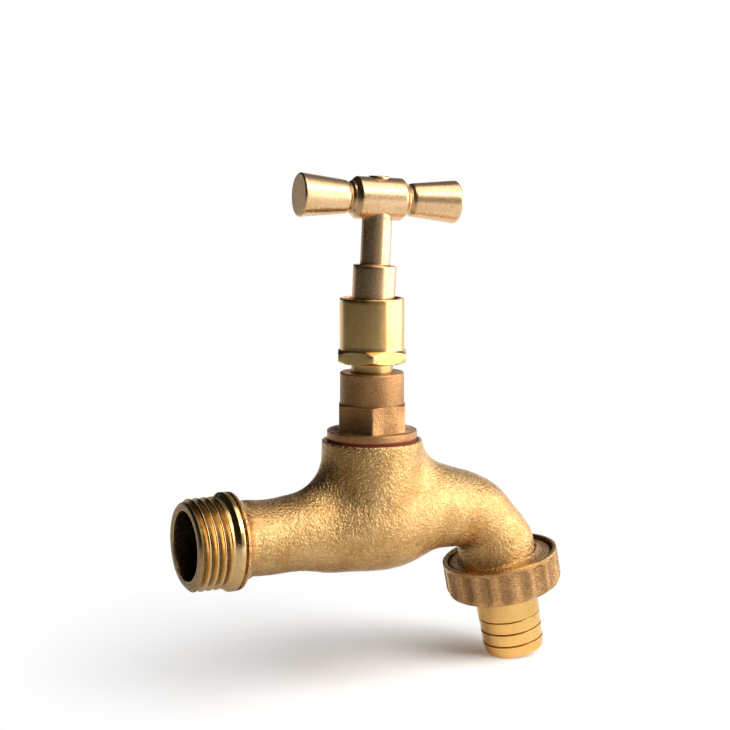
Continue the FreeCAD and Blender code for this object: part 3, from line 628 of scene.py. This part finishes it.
spout_rear = softened([(12.9, 0.0, 0.15), (SPOUT_ROOT, 0.0), (SPOUT_ROOT, SPOUT_TOP),
                       (SPOUT_BORE, SPOUT_TOP), (SPOUT_BORE, SPOUT_LENGTH, 0.2)])
# Painted shade on the spout's end face where it meets the cast shoulder
spout_rear = [(radius, level, SPOUT_CORNER_PAINTED_SHADE if level < 0.1 else 0.0) for radius, level in spout_rear]
shoulder_corners = [(CAST_SHOULDER, -1.6), (9.9, -1.1, 0.5), (10.7, -0.7, 0.6), (12.3, -0.5, 0.4),
                    (12.75, CAST_SHOULDER_FOOT, 0.1), (CAST_SHOULDER, CAST_SHOULDER_FOOT)]
# Painted shade where the shoulder meets the spout
shoulder_profile = with_painted_shade(dense(softened(shoulder_corners), 0.4), (12.8, -0.1, 0.6, 0.7))


def spout_column(angle):
    """Thread, shoulder face, bore and end face of the spout."""
    side = thread_points(angle, SPOUT_CREST, SPOUT_THREAD, chamfer=0.7, fade=0.5, hand=-1)
    return [(radius, SPOUT_LENGTH - level, painted_shading) for radius, level, painted_shading in side] + spout_rear


settle(swept("spout_end", spout_column, shoulder_frame, 288), "tap", "cast_brass", inlet_brass)
settle(turned("spout_shoulder", shoulder_profile, shoulder_frame), "tap", "cast_brass", cast_brass)


# Headwork and lock shroud: levels are heights above the inlet's axis

HEX_SHARPNESS = 60
HEX_FLAT = 0.1
STEM_HOLE = 3.28
CHAMBER = 5.28
CHAMBER_TOP = 23.4
HEADWORK_FOOT = 11.8
THREAD_BLANK = 8.33
FLANGE = 10.6
FLANGE_FOOT = 21.2
FLANGE_TOP = 23.0
HEX_WIDTH = 15.4
HEX_TOP = 29.3
BARREL = 7.5
BARREL_TOP = 36.7
STUFFING_BOX = 4.95
STUFFING_FLOOR = 29.9
GLAND = 4.9
GLAND_FOOT = 34.9
GLAND_TOP = 38.9
SHROUD_HEX_WIDTH = 15.8
SHROUD_HEX_TOP = 42.0
GUARD = 7.57
GUARD_FOOT = 43.2
GUARD_TOP = 54.0
GUARD_BORE = 6.6
GUARD_FLOOR = 43.4

hex_frame = frame_at(SPINDLE_X, 0.0, turn=HEX_TURN)


def hex_levels(angle, width, inner, low, high, lower_chamfer, rounding, slope):
    """Profile round one hexagon, from its lower face to its upper one.

    inner is the radius at which its upper face ends. slope is how far the cut of a corner runs
    inwards for each millimetre of height.
    """
    reach = polygon_reach(angle, 6, width, HEX_SHARPNESS)
    flat = width / 2 - HEX_FLAT
    drop = max(0.0, reach - flat) / slope
    edge = min(flat, reach)
    points = [(edge, low, 0.05), (reach, low + drop, rounding)] if lower_chamfer else [(reach, low)]
    return points + [(reach, high - drop, rounding), (edge, high, 0.05), (inner, high, 0.05)]


def headwork_column(angle):
    """Thread blank, flange, hexagon, barrel and the hollow inside."""
    outline = [(CHAMBER, HEADWORK_FOOT), (THREAD_BLANK - 0.6, HEADWORK_FOOT),
               (THREAD_BLANK, HEADWORK_FOOT + 0.6), (THREAD_BLANK, FLANGE_FOOT),
               (FLANGE, FLANGE_FOOT, 0.15), (FLANGE, FLANGE_TOP, 0.3)]
    outline += hex_levels(angle, HEX_WIDTH, BARREL + 0.02, FLANGE_TOP, HEX_TOP, False, 0.15, 3.6)
    outline += [(BARREL, BARREL_TOP, 0.45), (STUFFING_BOX, BARREL_TOP, 0.2),
                (STUFFING_BOX, STUFFING_FLOOR), (STEM_HOLE, STUFFING_FLOOR),
                (STEM_HOLE, CHAMBER_TOP), (CHAMBER, CHAMBER_TOP)]
    # Painted shade where the flange meets the hexagon, where the hexagon meets the barrel, and inside the
    # stuffing box
    return with_painted_shade(softened(outline), (7.75, FLANGE_TOP, 0.5, 0.5), (7.6, 29.35, 0.35, 0.35),
                  (STUFFING_BOX, 36.0, 0.9, 0.8))


settle(swept("headwork_casting", headwork_column, hex_frame), "tap", "headwork_brass", headwork_brass,
       "headwork")

gland_side = [(STEM_HOLE, GLAND_FOOT), (4.5, GLAND_FOOT), (GLAND, 35.3), (GLAND, GLAND_TOP)]
# Painted shade on the gland between the barrel and the shroud's hexagon
gland_side = with_painted_shade(dense(gland_side, 0.7), (GLAND, 37.4, 1.4, 0.45))
guard_side = softened([(GUARD, GUARD_FOOT), (7.55, GUARD_TOP, 0.35), (GUARD_BORE, GUARD_TOP, 0.2),
                       (GUARD_BORE, GUARD_FLOOR, 0.4), (STEM_HOLE, GUARD_FLOOR)])
# The guard's bore is painted black as shade
guard_side = with_painted_bore_shade(with_painted_shade(dense(guard_side, 1.0)), GUARD_BORE + 0.1, GUARD_TOP - 0.6, -1.5)


def shroud_column(angle):
    """Gland, low hexagon and tall guard with its bore."""
    hexagon = hex_levels(angle, SHROUD_HEX_WIDTH, 7.58, GLAND_TOP, SHROUD_HEX_TOP, True, 0.12, 1.6)
    middle = softened([(GLAND, GLAND_TOP)] + hexagon + [(GUARD, GUARD_FOOT)])
    return gland_side[:-1] + middle[:-1] + guard_side


settle(swept("shroud_turning", shroud_column, hex_frame), "tap", "turned_brass", turned_brass,
       "lock_shroud")


# Key: levels run up from the stem's lower end, and along the bar from its middle

SOCKET_WIDTH = 5.35
SOCKET_DEPTH = 5.3
SOCKET_SHARPNESS = 40
SOCKET_RIM = 4.4
STEM_COLLAR = 5.05
STEM_COLLAR_TOP = 17.0
SHANK = 3.5
SHANK_TOP = 30.65
SPIGOT = 2.4
SPIGOT_TOP = 37.55
BAR_LEVEL = 32.4
BAR_MIDDLE = 4.9
BAR_NECK = 3.8
BAR_GROOVE = 3.25
BAR_GROOVE_LEVEL = 7.45
BAR_HALF = 19.5

stem_side = softened([(SOCKET_RIM, 0.0), (STEM_COLLAR, 0.0, 0.4), (STEM_COLLAR, STEM_COLLAR_TOP, 0.45),
                      (SHANK, STEM_COLLAR_TOP, 0.35), (SHANK, SHANK_TOP), (SPIGOT, SHANK_TOP),
                      (SPIGOT, SPIGOT_TOP, 0.35), (0.0, 37.6)])
# Painted shade where the shank meets the collar and the bar and where the spigot comes out of the bar;
# darker on the spigot's top edge
stem_side = with_painted_shade(dense(stem_side, 0.7), (SPIGOT, 36.6, 0.7, 1.0), (SPIGOT, 37.5, 0.3, 0.4),
                   (SHANK, 17.1, 0.5, 0.6), (SHANK, 27.7, 0.6, 0.5))


def stem_column(angle):
    """Square socket, collar, shank and the peened spigot."""
    reach = polygon_reach(angle + math.pi / 4, 4, SOCKET_WIDTH, SOCKET_SHARPNESS)
    socket = softened([(0.0, SOCKET_DEPTH), (reach, SOCKET_DEPTH, 0.1), (reach, 0.0, 0.15),
                       (SOCKET_RIM, 0.0)])
    return socket[:-1] + stem_side


def bar_profile():
    """Outline of the T bar from end to end: its middle, two grooves and two flared handles."""
    half = [(BAR_MIDDLE, 5.5, 0.4), (3.95, 6.5, 0.15), (BAR_NECK, 6.9, 0.2),
            (BAR_GROOVE, BAR_GROOVE_LEVEL, 0.3), (BAR_NECK, 8.15, 0.3), (3.9, 8.5, 0.3), (5.05, 19.2, 0.3),
            (4.75, BAR_HALF, 0.1)]
    mirrored = [(radius, -level, rounding) for radius, level, rounding in reversed(half)]
    corners = [(0.0, -BAR_HALF)] + mirrored + half + [(0.0, BAR_HALF)]
    # Painted shade in the two grooves
    grooves = [(BAR_GROOVE, side * BAR_GROOVE_LEVEL, 0.3, 0.5) for side in (-1, 1)]
    return with_painted_shade(dense(softened(corners), 0.6), *grooves)


bar_frame = on_key(BAR_LEVEL) @ Matrix.Rotation(math.pi / 2, 4, "Y")
settle(swept("stem_turning", stem_column, on_key(0.0), 192, closed=False), "key", "key_brass", key_brass,
       "key_stem")
settle(turned("bar_turning", bar_profile(), bar_frame, closed=False), "key", "key_brass", key_brass,
       "key_crossbar")


# Union: levels run down from the nut's top, and from the tail's flange

NUT_LEVEL = -1.0
NUT_RADIUS = 14.25
NUT_TOP_ROUNDING = 0.2
NUT_HEIGHT = 9.1
NUT_FOOT_ROUNDING = 2.2
# The foot is rounded off below this level.
NUT_BEND = NUT_HEIGHT - NUT_FOOT_ROUNDING
NUT_BORE = 13.3
NUT_FLOOR = 7.9
NUT_HOLE = 8.3
FLUTES = 18
FLUTE_RADIUS = 3.3
FLUTE_DEPTH = 0.7
# Painted shade in the flutes, darkest where they cut deepest
FLUTE_PAINTED_SHADE = 0.3
# A flute begins this far below the nut's top, and its upper end is an arch of this height.
FLUTE_TOP = 0.4
FLUTE_ARCH = 1.1
ARCH_STEP = 0.08
ARCH_STEPS = 24
FOOT_STEPS = 12
BRIGHT_RIM_TOP = -0.03
BRIGHT_RIM_FOOT = 0.15
BRIGHT_RIM = (13.36, 14.1)

nut_levels = [0.0, 0.03, 0.08, 0.14, 0.2, 0.35]
nut_levels += [FLUTE_TOP + ARCH_STEP * k for k in range(ARCH_STEPS)]
nut_levels += [2.6, 3.2, 4.0, 5.0, 6.0, NUT_BEND]
nut_levels += [NUT_BEND + NUT_FOOT_ROUNDING * math.sin(math.pi / 2 * k / FOOT_STEPS)
               for k in range(1, FOOT_STEPS + 1)]
nut_inside = softened([(NUT_HOLE, NUT_HEIGHT, 0.3), (NUT_HOLE, NUT_FLOOR), (NUT_BORE, NUT_FLOOR),
                       (NUT_BORE, 0.0, 0.15)])
# Painted shade inside the nut's bore
nut_inside = with_painted_shade(dense(nut_inside, 0.8), (NUT_BORE, 4.0, 4.4, 1.0))


def flute_at(angle, level):
    """How far the flutes cut below the nut's outside at an angle and a level below its top."""
    step = TURN / FLUTES
    off = (angle + step / 2) % step - step / 2
    axis = NUT_RADIUS + FLUTE_RADIUS - FLUTE_DEPTH
    above_arch = FLUTE_TOP + FLUTE_ARCH - level
    scale = 1.0 if above_arch <= 0 else math.sqrt(max(0.0, 1 - (above_arch / FLUTE_ARCH) ** 2))
    inside = (FLUTE_RADIUS * scale) ** 2 - (axis * math.sin(off)) ** 2
    if inside <= 0:
        return 0.0
    return max(0.0, NUT_RADIUS - axis * math.cos(off) + math.sqrt(inside))


def nut_point(angle, level):
    """Point on the nut's outside at an angle and a level below its top, with painted shade in its flutes.
    """
    radius = NUT_RADIUS
    if level < NUT_TOP_ROUNDING:
        bend = NUT_TOP_ROUNDING - level
        radius = NUT_RADIUS - NUT_TOP_ROUNDING + math.sqrt(max(0.0, NUT_TOP_ROUNDING ** 2 - bend ** 2))
    if level > NUT_BEND:
        bend = min(NUT_FOOT_ROUNDING, level - NUT_BEND)
        radius = NUT_RADIUS - NUT_FOOT_ROUNDING + math.sqrt(max(0.0, NUT_FOOT_ROUNDING ** 2 - bend ** 2))
    cut = flute_at(angle, level)
    return min(radius, NUT_RADIUS - cut), level, FLUTE_PAINTED_SHADE * min(1.0, cut / FLUTE_DEPTH)


def nut_column(angle):
    """Fluted side, rounded foot, hole and bore of the nut."""
    return [nut_point(angle, level) for level in nut_levels] + nut_inside


rim_corners = [(BRIGHT_RIM[0], BRIGHT_RIM_TOP, 0.05), (BRIGHT_RIM[1], BRIGHT_RIM_TOP, 0.05),
               (BRIGHT_RIM[1], BRIGHT_RIM_FOOT), (BRIGHT_RIM[0], BRIGHT_RIM_FOOT)]
nut_frame = on_outlet(NUT_LEVEL)
settle(swept("nut_casting", nut_column, nut_frame, 360), "union_nut", "nut_brass", nut_brass, "union_nut")
settle(turned("nut_rim", softened(rim_corners), nut_frame), "union_nut", "turned_brass", turned_brass)

TAIL_LEVEL = 5.7
TAIL_BORE = 5.2
TAIL_FLANGE = 12.0
TAIL_FLANGE_FOOT = 1.2
TAIL_HUB = 8.0
TAIL_RADIUS = 7.8
TAIL_END = 18.3
BARBS = 3
BARB_STEP = 3.2
BARB_FALL = 0.2
FIRST_BARB = 7.72
BARB_TAPER = 0.08
FIRST_GROOVE = 8.7
GROOVE_DEPTH = 0.3
GROOVE_HALF = 0.2


def tail_profile():
    """Flange, hub, three barbs with a fine groove above each, and the bore."""
    corners = [(TAIL_BORE, 0.0), (TAIL_FLANGE, 0.0, 0.2), (TAIL_FLANGE, TAIL_FLANGE_FOOT, 0.2),
               (TAIL_HUB, TAIL_FLANGE_FOOT, 0.2), (TAIL_HUB, 2.5, 0.2), (TAIL_RADIUS, 2.55, 0.1)]
    # Painted shade at the step below the hub
    spots = [(TAIL_RADIUS, 2.6, 0.7, 0.6)]
    radius = TAIL_RADIUS
    level = FIRST_GROOVE
    for barb in range(BARBS):
        edge = FIRST_BARB - BARB_TAPER * barb
        corners += [(radius, level, 0.06), (radius - GROOVE_DEPTH, level + GROOVE_HALF, 0.04),
                    (edge, level + 2 * GROOVE_HALF, 0.08)]
        # Painted shadow in each fine groove
        spots.append((radius - 0.25, level + GROOVE_HALF, 0.24, 1.0))
        radius = edge - BARB_FALL
        level += BARB_STEP
    corners += [(radius, TAIL_END, 0.9), (TAIL_BORE, TAIL_END, 0.2)]
    points = with_painted_shade(dense(softened(corners + corners[:1]), 0.5), *spots)[:-1]
    # The bore is painted black as shade
    return with_painted_bore_shade(points, TAIL_BORE + 0.1, TAIL_END - 0.5, -0.1)


settle(turned("tail_turning", tail_profile(), on_outlet(TAIL_LEVEL), 240), "hose_tail", "tail_brass",
       tail_brass, "hose_tail")


# Pieces that keep their CAD shape

kept = {"body_gasket": red_fibre, "packing_ring_lower": packing, "packing_ring_middle": packing,
        "packing_ring_upper": packing, "packing_follower": turned_brass, "spindle": turned_brass,
        "jumper_valve": turned_brass, "tap_washer": black_rubber, "washer_nut": turned_brass,
        "hose_washer": black_rubber}
for node_name, finish in kept.items():
    node_mesh = frame["nodes"][node_name].data
    node_mesh.materials.clear()
    node_mesh.materials.append(finish)


# Studio and camera

CAMERA_TURN = -26.8
CAMERA_LIFT = 7.15
CAMERA_AIM = (44.16, 0.0, 38.3)
CAMERA_DISTANCE = 360.0
LENS = 76.04
SENSOR = 36.0
CLIP_START = 10.0

WHITE = rgb(1.0, 1.0, 1.0)
FLOOR_CENTRE = (56.0, 14.0)
FLOOR_HALF = 3000.0
FLOOR_PATCHES = 0.02
FLOOR_SHADES = (0.86, 0.9)
# How much brighter the floor's shade is where it is seen or mirrored
FLOOR_GAIN = 0.8
# The floor turns white between these distances from its centre, from this share on.
FLOOR_FADE = (22.0, 95.0)
FLOOR_WHITE = 0.06
# Brightness of the room to the camera's left and right
ROOM_LEFT = 0.012
ROOM_RIGHT = 0.28
LAMP_DISTANCE = 600.0
LAMP_AIM = (50.0, 0.0, 20.0)

bearing_angle = math.radians(CAMERA_TURN)
to_camera = Vector((math.sin(bearing_angle), -math.cos(bearing_angle), 0.0))
to_right = Vector((math.cos(bearing_angle), math.sin(bearing_angle), 0.0))


def lifted(level, degrees):
    """Level direction turned upwards."""
    return level * math.cos(math.radians(degrees)) + Vector((0.0, 0.0, math.sin(math.radians(degrees))))


def seen_or_mirrored(n, share):
    """1 for what the camera sees, a share for what a metal mirrors, and 0 for what only gives light."""
    path = n.add("ShaderNodeLightPath").outputs
    mirrored = n.math("MAXIMUM", path["Is Glossy Ray"], path["Is Transmission Ray"])
    return n.math("MAXIMUM", path["Is Camera Ray"], n.math("MULTIPLY", mirrored, share))


def floor():
    """Pale floor at the tap's lowest point, with its shadow, which runs out into the white backdrop."""
    n = Nodes(bpy.data.materials.new("floor"))
    place = n.millimetres()
    reach = n.length(place)
    beyond = n.math("DIVIDE", n.dot(place, (to_right - to_camera) / math.sqrt(2)), reach)
    seen = seen_or_mirrored(n, n.span(beyond, -0.4, 0.5))
    shade = n.span(n.noise(place, FLOOR_PATCHES, detail=2.0), *WIDE, *FLOOR_SHADES)
    gain = n.math("ADD", n.math("MULTIPLY", seen, FLOOR_GAIN), 1.0)
    cloth = n.add("ShaderNodeBsdfDiffuse", None, Color=n.math("MULTIPLY", shade, gain))
    backdrop = n.add("ShaderNodeEmission")
    backdrop.inputs["Color"].default_value = WHITE
    backdrop.inputs["Strength"].default_value = 1.0
    away = n.math("MULTIPLY", n.span(reach, *FLOOR_FADE, FLOOR_WHITE, 1.0), seen)
    joined = n.add("ShaderNodeMixShader", None, Fac=away)
    n.put(joined.inputs[1], cloth.outputs["BSDF"])
    n.put(joined.inputs[2], backdrop.outputs["Emission"])
    n.put(n.tree.nodes["Material Output"].inputs["Surface"], joined.outputs["Shader"])
    half = FLOOR_HALF * MM
    mesh = bpy.data.meshes.new("floor")
    mesh.from_pydata([(-half, -half, 0), (half, -half, 0), (half, half, 0), (-half, half, 0)], [],
                     [(0, 1, 2, 3)])
    mesh.materials.append(n.owner)
    piece = bpy.data.objects.new("floor", mesh)
    piece.location = (FLOOR_CENTRE[0] * MM, FLOOR_CENTRE[1] * MM, cad_bounds[0].z)
    bpy.context.scene.collection.objects.link(piece)


def world():
    """White backdrop behind the tap, for what is seen or mirrored, and a dim room elsewhere."""
    n = Nodes(bpy.data.worlds.new("studio"))
    bpy.context.scene.world = n.owner
    background = n.tree.nodes["Background"]
    direction = n.add("ShaderNodeTexCoord").outputs["Generated"]
    behind = n.span(n.dot(direction, (to_right * 0.45 - to_camera).normalized()), 0.8, 0.96)
    room = n.span(n.dot(direction, to_right), -0.4, 0.6, ROOM_LEFT, ROOM_RIGHT)
    n.put(background.inputs["Strength"], n.math("MAXIMUM", seen_or_mirrored(n, behind), room))
    background.inputs["Color"].default_value = WHITE


def lamp(name, bearing, lift, width, height, brightness):
    """Soft panel that faces the tap: bearing is to the right of the camera, lift above the floor."""
    light = bpy.data.lights.new(name, "AREA")
    light.shape = "RECTANGLE"
    light.size = width * MM
    light.size_y = height * MM
    light.energy = brightness * math.pi * (width * MM) * (height * MM)
    around = math.radians(bearing)
    outward = lifted(to_camera * math.cos(around) + to_right * math.sin(around), lift)
    piece = bpy.data.objects.new(name, light)
    piece.location = Vector(LAMP_AIM) * MM + outward * (LAMP_DISTANCE * MM)
    piece.rotation_euler = (-outward).to_track_quat("-Z", "Y").to_euler()
    bpy.context.scene.collection.objects.link(piece)


def add_camera():
    """Camera as it was fitted to the photograph."""
    data = bpy.data.cameras.new("camera")
    data.sensor_width = SENSOR
    data.lens = LENS
    data.clip_start = CLIP_START * MM
    back = lifted(to_camera, CAMERA_LIFT)
    camera = bpy.data.objects.new("camera", data)
    camera.location = Vector(CAMERA_AIM) * MM + back * (CAMERA_DISTANCE * MM)
    camera.rotation_euler = (-back).to_track_quat("-Z", "Y").to_euler()
    bpy.context.scene.collection.objects.link(camera)
    bpy.context.scene.camera = camera


floor()
world()
lamp("side", bearing=90, lift=7, width=950, height=460, brightness=2.8)
lamp("upper", bearing=60, lift=40, width=340, height=260, brightness=3.6)
lamp("top", bearing=50, lift=68, width=500, height=500, brightness=1.7)
lamp("left", bearing=-136, lift=6, width=180, height=200, brightness=0.34)
add_camera()
bpy.context.scene.view_settings.view_transform = "Standard"
